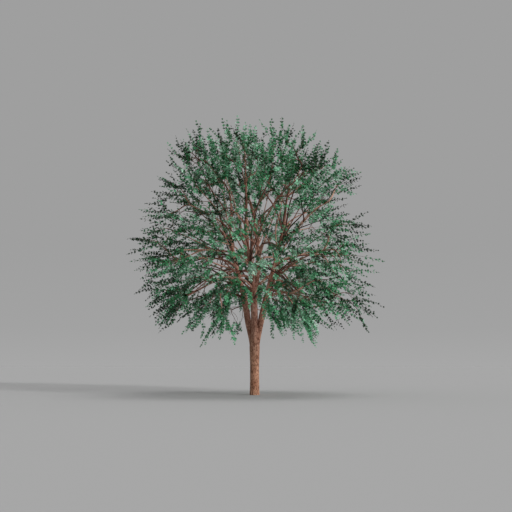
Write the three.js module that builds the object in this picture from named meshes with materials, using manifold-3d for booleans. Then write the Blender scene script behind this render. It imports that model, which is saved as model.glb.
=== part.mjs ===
// A broad-crowned maple rooted in level ground: a short trunk that parts into four leaders, the
// boughs that leave them, and the masses of foliage that the boughs carry round an open heart.
// Millimetres, +Z up. The origin is the middle of the flat cut under the trunk, and -Y is the front.

import * as THREE from "three";
import { mergeVertices } from "three/addons/utils/BufferGeometryUtils.js";
import Module from "manifold-3d";

const wasm = await Module();
wasm.setup();

// ---------------------------------------------------------------- driving dimensions

const HEIGHT = 12100; // ground to the limit that the topmost shoots keep to
const HALF_SPREAD = 5700; // trunk's middle to the limit that the side shoots keep to
const SEAT_GAP = 0.35; // clearance where one piece is seated on or in another
const SEAT_DEPTH = 260; // how far a limb runs into its mass

const TRUNK = {
  waist: 190, // radius at the narrowest height
  waistHeight: 1250,
  flare: 22, // added to the radius at the ground
  flareHeight: 330, // height over which the flare dies away
  swell: 30, // added to the radius below the fork
  forkHeight: 2050, // where the column starts to give way to the leaders
  tipHeight: 2850, // where the column has closed between the leaders
  closing: 0.8, // how much of its radius the column loses up to there
  sides: 16,
  rings: 9,
};

const LEADER = {
  cutHeight: 3200, // the trunk's feet of the leaders end and the separate leaders start
  baseRadius: 150,
  forkRadius: 130, // at forkShare of its length, where its first boughs leave
  forkShare: 0.36,
  tipRadius: 30,
  taperPower: 0.55, // under 1, so a leader loses most of its girth just past its first boughs
  sides: 8,
  footRings: 5,
  rings: 8,
};

// Each leader's middle line, [x, y, z], from inside the trunk to the heart of its top mass.
const LEADERS = [
  {
    name: "left_leader",
    azimuth: 172,
    line: [
      [-24, 6, 900],
      [-68, 18, 2100],
      [-285, 50, 3150],
      [-480, 80, 4300],
      [-790, 110, 5500],
      [-1060, 120, 6900],
      [-1050, 160, 8400],
      [-1300, 240, 10150],
    ],
  },
  {
    name: "front_leader",
    azimuth: 262,
    line: [
      [-4, -24, 900],
      [-12, -70, 2100],
      [-20, -270, 3150],
      [-60, -470, 4300],
      [-210, -700, 5500],
      [-340, -900, 6900],
      [-360, -1080, 8400],
      [-420, -1400, 10150],
    ],
  },
  {
    name: "right_leader",
    azimuth: 2,
    line: [
      [26, -4, 900],
      [70, -14, 2100],
      [272, -40, 3150],
      [545, -50, 4300],
      [840, -30, 5500],
      [1230, 20, 6900],
      [1400, 60, 8400],
      [1560, 40, 10150],
    ],
  },
  {
    name: "back_leader",
    azimuth: 86,
    line: [
      [2, 24, 900],
      [3, 68, 2100],
      [10, 250, 3150],
      [0, 470, 4300],
      [160, 760, 5500],
      [100, 1010, 6900],
      [-110, 1300, 8400],
      [-620, 1620, 10150],
    ],
  },
];

// Masses of foliage in rings round the trunk. radius and height place a ring's middles, and first
// is the azimuth of its first mass; reach is the half size of a mass outwards, across and upwards,
// and tilt turns its long axis up from level. leave is the range of heights at which the ring's
// boughs leave their leaders; rise is how steeply they start, drop how steeply they end, and
// bough their first and last radius.
const RINGS = [
  {
    name: "skirt",
    count: 7,
    first: -64,
    radius: 3650,
    height: 3720,
    reach: [2450, 2200, 1700],
    tilt: -10,
    leave: [4100, 4800],
    rise: 0.7,
    drop: -0.3,
    bough: [66, 32],
  },
  {
    name: "girth",
    count: 8,
    first: -86,
    radius: 3950,
    height: 5900,
    reach: [2150, 2200, 1750],
    tilt: 6,
    leave: [4600, 5500],
    rise: 0.9,
    drop: 0,
    bough: [60, 30],
  },
  {
    name: "shoulder",
    count: 7,
    first: -70,
    radius: 3250,
    height: 8200,
    reach: [2050, 2100, 1800],
    tilt: 30,
    leave: [5900, 7100],
    rise: 1.3,
    drop: 0.55,
    bough: [54, 28],
  },
  {
    name: "top",
    count: 5,
    first: -96,
    radius: 2300,
    height: 10150,
    reach: [2250, 1950, 1750],
    tilt: 52,
    leave: [7900, 8500],
    rise: 2.2,
    drop: 1.4,
    bough: [42, 26],
  },
  {
    name: "crest",
    count: 1,
    first: 0,
    radius: 60,
    height: 10750,
    reach: [1600, 1600, 1800],
    tilt: 0,
    leave: [8200, 8200],
    rise: 3,
    drop: 3,
    bough: [38, 24],
  },
];

// How far each mass strays from its ring's even places.
const STRAY = { azimuth: 7, radius: 0.05, tilt: 6, height: 170 };

const BOUGH = {
  sides: 6,
  rings: 5,
  widest: 0.74, // of its leader's radius where it leaves
  pull: 0.36, // how far its end directions hold, as a share of its span
  taperPower: 0.8,
};

// The crown's outline: how wide the crown is at a height, as shares of HEIGHT and HALF_SPREAD.
const OUTLINE = [
  [0.17, 0.5],
  [0.25, 0.9],
  [0.34, 0.96],
  [0.45, 1.0],
  [0.58, 0.95],
  [0.7, 0.83],
  [0.8, 0.78],
  [0.88, 0.73],
  [0.94, 0.6],
  [0.98, 0.4],
  [1.0, 0.16],
];
const SWAY = { share: 0.025, folds: 3, pitch: 1400 }; // slow waves in the outline
const UNDERSIDE = { lowest: 2080, rise: 1150, power: 1.3 }; // the hanging skirt's lower face
const HEART = { height: 5300, radius: 2050, rise: 3750 }; // the open space inside the foliage

const MASS = {
  detail: 2, // subdivision of the starting icosahedron
  gap: 200, // open air between neighbouring masses
  dents: 0.17, // deepest hollow in a mass, as a share of its reach there
  dentTurns: 3, // hollows across a mass
  softness: 16, // how sharply the limits on a mass take over from each other
  step: 40, // how finely the leafy space is felt out
};

const COLOURS = {
  trunk: 0x8a6a55,
  leader: 0x7d5447,
  bough: 0x6f4438,
  skirt: 0x2f7a55,
  girth: 0x286f4a,
  shoulder: 0x1f6442,
  top: 0x1b5a3a,
  crest: 0x1b5a3a,
};
const ROUGHNESS = { bark: 0.9, foliage: 0.6 };

// ---------------------------------------------------------------- helpers

const radians = THREE.MathUtils.degToRad;
const lerp = THREE.MathUtils.lerp;
const vector = (x, y, z) => new THREE.Vector3(x, y, z);

// The same number from -1 to 1 for the same keys, by the fraction that a steep sine leaves.
function chance(...keys) {
  const mixed = keys.reduce((sum, key, i) => sum + key * (12.9898 + 65.2331 * i), 4.1414);
  const steep = Math.sin(mixed) * 43758.5453;
  return 2 * (steep - Math.floor(steep)) - 1;
}

// A smooth value through [position, value] pairs.
function through(pairs, at) {
  const last = pairs.length - 1;
  if (at <= pairs[0][0]) return pairs[0][1];
  if (at >= pairs[last][0]) return pairs[last][1];
  const i = pairs.findIndex((pair) => pair[0] > at) - 1;
  const share = (at - pairs[i][0]) / (pairs[i + 1][0] - pairs[i][0]);
  return lerp(pairs[i][1], pairs[i + 1][1], THREE.MathUtils.smoothstep(share, 0, 1));
}

// The angle between two azimuths, in radians from 0 to half a turn.
const turned = (a, b) => Math.abs(Math.atan2(Math.sin(a - b), Math.cos(a - b)));

function solidOf(geometry) {
  const plain = geometry.clone();
  plain.deleteAttribute("normal");
  plain.deleteAttribute("uv");
  const merged = mergeVertices(plain, 1e-3);
  return new wasm.Manifold(
    new wasm.Mesh({
      numProp: 3,
      vertProperties: merged.attributes.position.array,
      triVerts: new Uint32Array(merged.index.array),
    }),
  );
}

function meshOf(name, solid, color, roughness) {
  const made = solid.getMesh();
  const geometry = new THREE.BufferGeometry();
  geometry.setAttribute("position", new THREE.BufferAttribute(made.vertProperties, 3));
  geometry.setIndex(new THREE.BufferAttribute(made.triVerts, 1));
  geometry.computeVertexNormals();
  const material = new THREE.MeshStandardMaterial({ color, roughness, metalness: 0 });
  const mesh = new THREE.Mesh(geometry, material);
  mesh.name = name;
  return mesh;
}

// ---------------------------------------------------------------- limbs

// A round limb along a curve, between two shares of its length, as a bent and tapered cylinder.
function limb(curve, from, to, radiusAt, sides, rings) {
  const geometry = new THREE.CylinderGeometry(1, 1, 1, sides, rings);
  const steps = 240;
  const frames = curve.computeFrenetFrames(steps, false);
  const position = geometry.attributes.position;
  const point = vector();
  const side = vector();
  for (let i = 0; i < position.count; i++) {
    const share = lerp(from, to, position.getY(i) + 0.5);
    const frame = Math.min(Math.floor(share * steps), steps - 1);
    const part = share * steps - frame;
    const radius = radiusAt(share);
    curve.getPointAt(share, point);
    side.lerpVectors(frames.normals[frame], frames.normals[frame + 1], part).normalize();
    point.addScaledVector(side, position.getZ(i) * radius);
    side.lerpVectors(frames.binormals[frame], frames.binormals[frame + 1], part).normalize();
    point.addScaledVector(side, position.getX(i) * radius);
    position.setXYZ(i, point.x, point.y, point.z);
  }
  return solidOf(geometry);
}

// A leader is thick up to its first boughs, and thins fast beyond them.
function leaderRadius(share) {
  const { baseRadius, forkRadius, forkShare, tipRadius, taperPower } = LEADER;
  if (share < forkShare) return lerp(baseRadius, forkRadius, share / forkShare);
  const past = (share - forkShare) / (1 - forkShare);
  return lerp(forkRadius, tipRadius, Math.pow(past, taperPower));
}

// The share of a rising curve's length at which it passes a height.
function shareAtHeight(curve, height) {
  let low = 0;
  let high = 1;
  for (let i = 0; i < 30; i++) {
    const middle = (low + high) / 2;
    if (curve.getPointAt(middle).z < height) low = middle;
    else high = middle;
  }
  return low;
}

function columnRadius(z) {
  const { waist, waistHeight, flare, flareHeight, swell, forkHeight, tipHeight, closing } = TRUNK;
  const climb = THREE.MathUtils.clamp((z - waistHeight) / (forkHeight - waistHeight), 0, 1);
  const close = THREE.MathUtils.clamp((z - forkHeight) / (tipHeight - forkHeight), 0, 1);
  const open = waist + flare * Math.exp(-z / flareHeight) + swell * climb;
  return open * (1 - closing * close);
}

// The trunk: a column that closes inside its fork, joined with the foot of every leader.
function trunkSolid() {
  const axis = new THREE.LineCurve3(vector(0, 0, 0), vector(0, 0, TRUNK.tipHeight));
  const radiusAt = (share) => columnRadius(share * TRUNK.tipHeight);
  let solid = limb(axis, 0, 1, radiusAt, TRUNK.sides, TRUNK.rings);
  for (const { curve, cut } of LEADERS) {
    solid = solid.add(limb(curve, 0, cut, leaderRadius, LEADER.sides, LEADER.footRings));
  }
  return solid;
}

// ---------------------------------------------------------------- foliage

function crownRadius(point) {
  const azimuth = Math.atan2(point.y, point.x);
  const sway = 1 + SWAY.share * Math.sin(SWAY.folds * azimuth + point.z / SWAY.pitch);
  return HALF_SPREAD * through(OUTLINE, point.z / HEIGHT) * sway;
}

// Whether leaves grow at a point: inside the outline, above the skirt's lower face and outside
// the open heart.
function leafy(point) {
  const out = Math.hypot(point.x, point.y);
  const underside =
    UNDERSIDE.lowest + UNDERSIDE.rise * Math.pow(out / HALF_SPREAD, UNDERSIDE.power);
  const fromHeart = Math.hypot(out / HEART.radius, (point.z - HEART.height) / HEART.rise);
  return point.z < HEIGHT && point.z > underside && out < crownRadius(point) && fromHeart > 1;
}

// How far the leafy space reaches from a point inside it, in a direction.
function roomTowards(centre, direction) {
  const point = centre.clone();
  let room = 0;
  while (leafy(point)) {
    room += MASS.step;
    point.addScaledVector(direction, MASS.step);
  }
  return room;
}

// A mass's place: its middle, and the directions in which it reaches outwards, across and upwards.
function placeMass(ring, tier, k) {
  const even = ring.first + (k * 360) / ring.count;
  const azimuth = radians(even + STRAY.azimuth * chance(tier, k, 1));
  const radius = ring.radius * (1 + STRAY.radius * chance(tier, k, 2));
  const tilt = radians(ring.tilt + STRAY.tilt * chance(tier, k, 3));
  const height = ring.height + STRAY.height * chance(tier, k, 4);
  const out = vector(Math.cos(azimuth), Math.sin(azimuth), 0);
  const across = vector(-out.y, out.x, 0);
  const outwards = out.clone().multiplyScalar(Math.cos(tilt)).setZ(Math.sin(tilt));
  return {
    name: `${ring.name}_mass_${k + 1}`,
    boughName: `${ring.name}_bough_${k + 1}`,
    ring,
    azimuth,
    seed: 10 * tier + k,
    centre: out.clone().multiplyScalar(radius).setZ(height),
    axes: [outwards, across, outwards.clone().cross(across)],
  };
}

// How much of its reach a mass keeps in a direction, between shallow hollows that differ on each.
function kept(direction, seed) {
  const turn = MASS.dentTurns;
  const waves =
    Math.sin(turn * direction.x * 1.7 + seed * 2.3) +
    Math.sin(turn * direction.y * 1.9 + seed * 1.1 + direction.z * 2.1) +
    Math.sin(turn * direction.z * 1.6 + seed * 3.7 - direction.x * 1.8);
  return 1 - (MASS.dents * (3 + waves)) / 6;
}

// How far a mass reaches from its middle in a direction: its own ellipsoid, held inside the leafy
// space and on its own side of the plane between it and each neighbour, less its hollows.
function massReach(mass, direction) {
  const across = mass.axes.map((axis, i) => direction.dot(axis) / mass.ring.reach[i]);
  const limits = [1 / Math.hypot(...across), roomTowards(mass.centre, direction)];
  for (const other of masses) {
    const apart = other.centre.clone().sub(mass.centre);
    const distance = apart.length();
    const towards = direction.dot(apart) / distance;
    if (other !== mass && towards > 0.05) limits.push((distance - MASS.gap) / 2 / towards);
  }
  const sum = limits.reduce((total, limit) => total + Math.pow(limit, -MASS.softness), 0);
  return Math.pow(sum, -1 / MASS.softness) * kept(direction, mass.seed);
}

function massSolid(mass) {
  const geometry = new THREE.IcosahedronGeometry(1, MASS.detail);
  const position = geometry.attributes.position;
  const direction = vector();
  for (let i = 0; i < position.count; i++) {
    direction.fromBufferAttribute(position, i).normalize();
    const point = mass.centre.clone().addScaledVector(direction, massReach(mass, direction));
    position.setXYZ(i, point.x, point.y, point.z);
  }
  return solidOf(geometry);
}

// ---------------------------------------------------------------- how the limbs carry the masses

// The leader that stands nearest below a mass, by the angle between them round the trunk.
function leaderFor(mass) {
  const apart = (leader) => turned(mass.azimuth, radians(leader.azimuth));
  return LEADERS.reduce((best, leader) => (apart(leader) < apart(best) ? leader : best));
}

// The share of a curve's length at which it has run SEAT_DEPTH into a mass.
function seatShare(curve, mass, start) {
  const length = curve.getLength();
  for (let share = start; share < 1; share += 0.004) {
    const offset = curve.getPointAt(share).sub(mass.centre);
    const distance = offset.length();
    if (distance < massReach(mass, offset.normalize())) {
      return Math.min(1, share + SEAT_DEPTH / length);
    }
  }
  return 1;
}

// A bough leaves its leader part way up, swings outwards and ends in its mass.
function boughCurve(mass, start) {
  const span = mass.centre.clone().sub(start);
  const first = span.clone().setZ(0).normalize().setZ(mass.ring.rise).normalize();
  const last = vector(Math.cos(mass.azimuth), Math.sin(mass.azimuth), mass.ring.drop).normalize();
  const pull = BOUGH.pull * span.length();
  return new THREE.CubicBezierCurve3(
    start,
    start.clone().addScaledVector(first, pull),
    mass.centre.clone().addScaledVector(last, -pull),
    mass.centre,
  );
}

// A limb's solid, and the same limb grown by SEAT_GAP, which is what its neighbours are cut by.
function makeLimb(name, curve, from, to, radiusAt, { sides, rings }) {
  const pad = SEAT_GAP / curve.getLength();
  const grown = (share) => radiusAt(share) + SEAT_GAP;
  const [low, high] = [Math.max(0, from - pad), Math.min(1, to + pad)];
  return {
    name,
    solid: limb(curve, from, to, radiusAt, sides, rings),
    clear: limb(curve, low, high, grown, sides, rings),
  };
}

// Each leader is seated on its own flat cut and ends in the top mass nearest to its tip.
function makeLeader(leader) {
  const { name, curve, cut } = leader;
  const tip = curve.getPointAt(1);
  const fromTip = (mass) => mass.centre.distanceTo(tip);
  const tops = masses.filter((mass) => mass.ring.name === "top");
  const top = tops.reduce((best, mass) => (fromTip(mass) < fromTip(best) ? mass : best));
  top.carried = true;
  const start = cut + SEAT_GAP / curve.getLength();
  const seat = seatShare(curve, top, cut);
  return makeLimb(name, curve, start, seat, leaderRadius, LEADER);
}

// The boughs of one ring that share a leader leave it at heights spread over the ring's range.
function makeBough(mass) {
  const leader = leaderFor(mass);
  const shares = (other) => other.ring === mass.ring && leaderFor(other) === leader;
  const mates = masses.filter((other) => !other.carried && shares(other));
  const step = mates.length > 1 ? mates.indexOf(mass) / (mates.length - 1) : 0.5;
  const leaves = shareAtHeight(leader.curve, lerp(...mass.ring.leave, step));
  const curve = boughCurve(mass, leader.curve.getPointAt(leaves));
  const seat = seatShare(curve, mass, 0);
  const [foot, tip] = mass.ring.bough;
  const base = Math.min(foot, BOUGH.widest * leaderRadius(leaves));
  const radiusAt = (share) => lerp(base, tip, Math.pow(share / seat, BOUGH.taperPower));
  const made = makeLimb(mass.boughName, curve, 0, seat, radiusAt, BOUGH);
  const carrier = leaders.find((other) => other.name === leader.name);
  return { ...made, solid: made.solid.subtract(carrier.clear) };
}

// ---------------------------------------------------------------- the tree

for (const leader of LEADERS) {
  leader.curve = new THREE.CatmullRomCurve3(
    leader.line.map((point) => vector(...point)),
    false,
    "catmullrom",
  );
  leader.cut = shareAtHeight(leader.curve, LEADER.cutHeight);
}

const masses = RINGS.flatMap((ring, tier) =>
  Array.from({ length: ring.count }, (_, k) => placeMass(ring, tier, k)),
);
const leaders = LEADERS.map(makeLeader);
const boughs = masses.filter((mass) => !mass.carried).map(makeBough);

const tree = new THREE.Group();
tree.add(meshOf("trunk", trunkSolid(), COLOURS.trunk, ROUGHNESS.bark));
for (const { name, solid } of leaders) {
  tree.add(meshOf(name, solid, COLOURS.leader, ROUGHNESS.bark));
}
for (const { name, solid } of boughs) {
  tree.add(meshOf(name, solid, COLOURS.bough, ROUGHNESS.bark));
}
for (const mass of masses) {
  const cut = [...leaders, ...boughs].reduce(
    (solid, { clear }) => solid.subtract(clear),
    massSolid(mass),
  );
  tree.add(meshOf(mass.name, cut, COLOURS[mass.ring.name], ROUGHNESS.foliage));
}

export default tree;
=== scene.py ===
"""A broad-crowned maple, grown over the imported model: bark with its relief on the trunk, leaders
and boughs, and in each mass of foliage the branches, twigs and five-lobed leaves that it holds.
Metres, +Z up, with the trunk's flat cut on the ground at the origin and -Y the front."""

import itertools
import math

import bpy
import numpy as np
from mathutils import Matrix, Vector, noise
from mathutils.bvhtree import BVHTree


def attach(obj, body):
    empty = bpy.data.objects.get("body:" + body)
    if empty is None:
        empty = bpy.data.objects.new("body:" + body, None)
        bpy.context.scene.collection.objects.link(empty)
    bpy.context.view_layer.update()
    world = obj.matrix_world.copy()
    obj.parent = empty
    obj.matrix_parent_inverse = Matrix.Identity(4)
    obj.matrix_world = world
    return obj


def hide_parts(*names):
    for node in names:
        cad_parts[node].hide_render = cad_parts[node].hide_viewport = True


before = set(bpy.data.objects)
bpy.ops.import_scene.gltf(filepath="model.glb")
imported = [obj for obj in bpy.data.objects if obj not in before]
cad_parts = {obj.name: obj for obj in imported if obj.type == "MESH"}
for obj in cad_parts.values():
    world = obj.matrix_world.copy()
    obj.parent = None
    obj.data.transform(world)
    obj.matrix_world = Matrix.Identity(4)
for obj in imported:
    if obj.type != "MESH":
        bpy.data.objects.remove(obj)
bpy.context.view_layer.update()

# ------ the limbs' sizes, as packed

# The trunk's radii and heights: a waist over a slight root flare, a swelling up to the fork, and a
# tip that closes among the leaders' feet.
TRUNK = {
    "waist": 0.190,
    "waist_height": 1.25,
    "flare": 0.022,
    "flare_height": 0.33,
    "swell": 0.030,
    "fork_height": 2.05,
    "tip_height": 2.85,
    "closing": 0.8,
}
# The trunk's skin takes in the leaders' feet: it ends at the first height, the leaders' own skins
# start at the second, and in between each passes a little inside the other.
TRUNK_SKIN_TOP, LEADER_SKIN_FOOT, SKIN_TUCK, TUCK_RUN = 3.35, 3.05, 0.012, 0.2
SKIN_GRID = 0.013  # fine enough for the bark's furrows
# A leader's radii, and a bough's: against its leader's, how far its curve pulls, and how it thins.
LEADER = {"base": 0.150, "fork": 0.130, "fork_share": 0.36, "tip": 0.030, "power": 0.55}
BOUGH = {"widest": 0.74, "pull": 0.36, "power": 0.8}

# Each leader's azimuth, and its middle line from inside the trunk to the heart of its top mass:
# across and in depth, at these heights.
LEADER_HEIGHTS = [0.9, 2.1, 3.15, 4.3, 5.5, 6.9, 8.4, 10.15]
LEADERS = {
    "left_leader": (172, [
        (-0.024, 0.006), (-0.068, 0.018), (-0.285, 0.05), (-0.48, 0.08),
        (-0.79, 0.11), (-1.06, 0.12), (-1.05, 0.16), (-1.3, 0.24),
    ]),
    "front_leader": (262, [
        (-0.004, -0.024), (-0.012, -0.07), (-0.02, -0.27), (-0.06, -0.47),
        (-0.21, -0.7), (-0.34, -0.9), (-0.36, -1.08), (-0.42, -1.4),
    ]),
    "right_leader": (2, [
        (0.026, -0.004), (0.07, -0.014), (0.272, -0.04), (0.545, -0.05),
        (0.84, -0.03), (1.23, 0.02), (1.4, 0.06), (1.56, 0.04),
    ]),
    "back_leader": (86, [
        (0.002, 0.024), (0.003, 0.068), (0.01, 0.25), (0.0, 0.47),
        (0.16, 0.76), (0.1, 1.01), (-0.11, 1.3), (-0.62, 1.62),
    ]),
}

# The rings of foliage masses: how many, the first's azimuth, the ring's radius and height, the
# heights between which its boughs leave, how steeply they start and end, their two radii, and the
# heights between which single branches leave the leaders for it.
RINGS = {
    "skirt": dict(count=7, first=-64, radius=3.65, height=3.72, leave=(4.1, 4.8),
                  rise=0.7, drop=-0.3, bough=(0.066, 0.032), stems=(4.0, 5.5)),
    "girth": dict(count=8, first=-86, radius=3.95, height=5.9, leave=(4.6, 5.5),
                  rise=0.9, drop=0.0, bough=(0.060, 0.030), stems=(4.2, 6.0)),
    "shoulder": dict(count=7, first=-70, radius=3.25, height=8.2, leave=(5.9, 7.1),
                     rise=1.3, drop=0.55, bough=(0.054, 0.028), stems=(4.8, 7.0)),
    "top": dict(count=5, first=-96, radius=2.30, height=10.15, leave=(7.9, 8.5),
                rise=2.2, drop=1.4, bough=(0.042, 0.026), stems=(5.3, 7.6)),
    "crest": dict(count=1, first=0, radius=0.06, height=10.75, leave=(8.2, 8.2),
                  rise=3.0, drop=3.0, bough=(0.038, 0.024), stems=(5.5, 7.5)),
}
STRAY = {"azimuth": 7, "radius": 0.05, "height": 0.17}  # degrees, a share and metres

# ------ the growth's sizes

SEED = 4
# Shoots point away from this place: up, out, or down in the skirt. Their rise or fall is then
# multiplied at the top, at the sides and in the skirt.
FOCUS = np.array([0.0, 0.0, 6.2])
STEEPER_TOP, FLATTER_SIDES, STEEPER_SKIRT = 1.8, 0.5, 1.2
TIP_SPACING = (0.47, 0.49)  # least distance between two sprays' tips: level and steep ones
LEAFY_DEPTH = (0.7, 2.0)  # shoots fill the crown down to the first and thin out to none at the other
SHOOT_LENGTH = (0.65, 1.15)
SHOOT_RADIUS = (0.0062, 0.0022)
# Sprays that hang out of the skirt: how steeply they point down, the share of such sprays that
# hang, how far they drop, and how far to the left or right they may be.
HANGING = {"steepness": 0.45, "share": 0.25, "drop": 0.34, "reach": 3.4}
# A spray's side shoots: how far behind its tip they end, how far apart, and how many sprays have one.
SIDE_SHOOTS = [(0.24, 0.13, 0.9), (0.34, 0.18, 0.5)]
PAIR_SPACING = 0.13  # between one pair of leaves and the next along a shoot
MOST_PAIRS = 9
LEAF_LENGTH = 0.117
PETIOLE = 0.016  # the leaf stalk's length, shorter than a real one, so that leaves line their shoot
OPENING = (36, 60)  # degrees between a leaf's midrib and its shoot
LEAF_DROOP = 0.16
LEAF_TUMBLE = 0.65  # how unevenly the blades face the sky
MISSING_LEAVES = 0.06
TRIES = 4.0  # places tried for a tip in each cube of its spacing
FACE_POWER = 0.22  # the smaller, the more the tips gather at their mass's face
PROUD, STRAY_REACH = 0.06, 0.3  # how far tips may stand out of that face, and a few more than that
WAY_SPREAD = 0.16  # how far shoots turn from the way that their place asks for
ROOT_SHARE = 0.85  # how far behind its tip, in its own lengths, a shoot wants to leave
BACK_SHARE = 0.6  # the point behind the tip by which windows and partings judge a shoot
BRANCHES_PER_MASS = 6
SHOOTS_PER_BRANCHLET = 4.0
PIPE_RADIUS, PIPE_POWER = 0.0096, 0.5  # a limb's radius from the number of shoots it feeds

# The eye in front of the tree, for which windows, partings, screens and swells are placed.
CAMERA_DISTANCE, CAMERA_HEIGHT = 30.9, 1.24
EYE = np.array([0.0, -CAMERA_DISTANCE, CAMERA_HEIGHT])

# Windows of sky through the crown: across, height, and half their width.
WINDOWS = [
    (-1.52, 5.59, 0.30),
    (-2.28, 4.57, 0.30),
    (-0.76, 3.35, 0.34),
    (-0.04, 6.48, 0.26),
    (-2.17, 8.46, 0.24),
    (-3.24, 8.09, 0.2),
    (0.63, 8.40, 0.30),
    (1.63, 8.66, 0.26),
    (1.85, 7.79, 0.26),
    (2.41, 7.29, 0.26),
    (0.33, 6.57, 0.22),
]

# Places where the foliage parts before the limbs: across, height, half their width and height,
# and the share of shoots that they keep.
PARTINGS = [
    (-0.1, 8.0, 2.2, 1.4, 0.75),
    (0.0, 3.05, 0.62, 0.95, 0.06),
    (0.62, 4.6, 0.25, 0.7, 0.4),
    (5.0, 5.8, 1.4, 2.4, 0.6),
    (4.4, 5.65, 0.6, 0.5, 0.5),
    (4.7, 6.6, 0.6, 0.9, 0.5),
    (4.0, 4.4, 0.5, 0.5, 0.5),
    (3.8, 8.2, 0.6, 0.6, 0.35),
    (-5.4, 5.0, 1.1, 1.8, 0.8),
    (-2.7, 3.3, 0.85, 0.6, 0.3),
    (3.6, 3.2, 1.1, 0.6, 0.25),
    (0.4, 11.5, 0.25, 0.8, 0.3),
]

# Places where shoots grow deep in the crown too and hide the limbs: across, height, half their
# width and height.
SCREENS = [
    (-0.25, 4.75, 0.75, 0.8),
]

# Places where the crown's outline swells or draws in: across, height, how wide, how far out.
SWELLS = [
    (3.9, 9.5, 0.9, 0.5),
    (3.8, 8.4, 0.4, -0.4),
    (-4.4, 7.3, 0.8, 0.4),
    (-5.6, 6.0, 0.45, -0.5),
    (-5.3, 5.4, 0.6, -0.25),
    (-5.0, 4.0, 0.9, -0.3),
    (4.3, 3.1, 0.8, 0.35),
    (3.6, 2.6, 0.6, -0.3),
    (-4.9, 3.3, 0.7, -0.35),
    (-2.5, 10.9, 0.5, 0.45),
    (3.1, 11.1, 0.8, -0.4),
    (2.5, 11.7, 0.35, -0.35),
    (-1.8, 11.6, 0.7, -0.25),
    (-0.5, 12.3, 0.6, -0.5),
    (0.35, 11.8, 0.3, -0.45),
    (1.1, 11.8, 0.35, 0.45),
]

BARK_GRAIN = 22.0  # ridges to a metre across the bark, so one about every 45 mm
BARK_STRETCH = 0.22  # how much slower the pattern changes along a limb than across it
BARK_DEPTH = 0.068  # how far ridges stand over furrows, as a share of the limb's radius
BARK_LEVEL = 0.6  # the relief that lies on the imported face

rng = np.random.default_rng(SEED)


# ------ small tools


def unit(vectors):
    """Vectors of length one, along the last axis."""
    length = np.linalg.norm(vectors, axis=-1, keepdims=True)
    return vectors / np.maximum(length, 1e-9)


def chance(*keys):
    """The number from -1 to 1 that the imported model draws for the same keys."""
    mixed = 4.1414
    for i, key in enumerate(keys):
        mixed += key * (12.9898 + 65.2331 * i)
    steep = math.sin(mixed) * 43758.5453
    return 2 * (steep - math.floor(steep)) - 1


def lerp(a, b, share):
    return a + (b - a) * share


def around(azimuth, z=0.0):
    return np.array([math.cos(azimuth), math.sin(azimuth), z])


class Route:
    """A curve as closely spaced points, read by the share of its length."""

    def __init__(self, points):
        self.points = np.asarray(points, float)
        steps = np.linalg.norm(np.diff(self.points, axis=0), axis=1)
        run = np.concatenate([[0.0], np.cumsum(steps)])
        self.length = run[-1]
        self.shares = run / run[-1]

    def at(self, shares):
        columns = [np.interp(shares, self.shares, self.points[:, i]) for i in range(3)]
        return np.stack(columns, axis=-1)

    def along(self, shares):
        shares = np.asarray(shares, float)
        return unit(self.at(np.minimum(shares + 0.01, 1)) - self.at(np.maximum(shares - 0.01, 0)))

    def share_at_height(self, height):
        return float(np.interp(height, self.points[:, 2], self.shares))

    def furthest_share(self, points):
        """The share that the furthest along of these points lies beside."""
        gaps = np.linalg.norm(self.points[None] - points[:, None], axis=2)
        return float(self.shares[gaps.argmin(axis=1)].max())


def catmull_rom(points, per_span=40):
    """A smooth curve through the points, its ends carried on straight."""
    p = np.asarray(points, float)
    p = np.vstack([2 * p[0] - p[1], p, 2 * p[-1] - p[-2]])
    t = np.linspace(0, 1, per_span, endpoint=False)[:, None]
    spans = []
    for i in range(1, len(p) - 2):
        a, b, c, d = p[i - 1], p[i], p[i + 1], p[i + 2]
        cubic = (2 * b + (c - a) * t + (2 * a - 5 * b + 4 * c - d) * t**2
                 + (3 * b - a - 3 * c + d) * t**3)
        spans.append(cubic / 2)
    return np.vstack([*spans, p[-2][None]])


def bezier(start, first, second, end, count=60):
    t = np.linspace(0, 1, count)[:, None]
    u = 1 - t
    return u**3 * start + 3 * u**2 * t * first + 3 * u * t**2 * second + t**3 * end


def outward(points):
    """The way a shoot points at each place in the crown: away from the focus, but steeper at the
    top, flatter at the sides and hanging more in the skirt."""
    away = unit(np.asarray(points) - FOCUS)
    level = np.linalg.norm(away[..., :2], axis=-1)
    above = lerp(STEEPER_TOP, FLATTER_SIDES, np.clip((level - 0.5) / 0.35, 0, 1))
    away[..., 2] *= np.where(away[..., 2] > 0, above, STEEPER_SKIRT)
    return unit(away)


# ------ meshes from arrays


def linked(name, data):
    """A new object of that name, with that data, in the scene."""
    made = bpy.data.objects.new(name, data)
    bpy.context.scene.collection.objects.link(made)
    return made


def read_vectors(mesh, kind):
    """The places, "co", or the normals, "normal", of a mesh's vertices."""
    found = np.empty(len(mesh.vertices) * 3)
    mesh.vertices.foreach_get(kind, found)
    return found.reshape(-1, 3)


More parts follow.
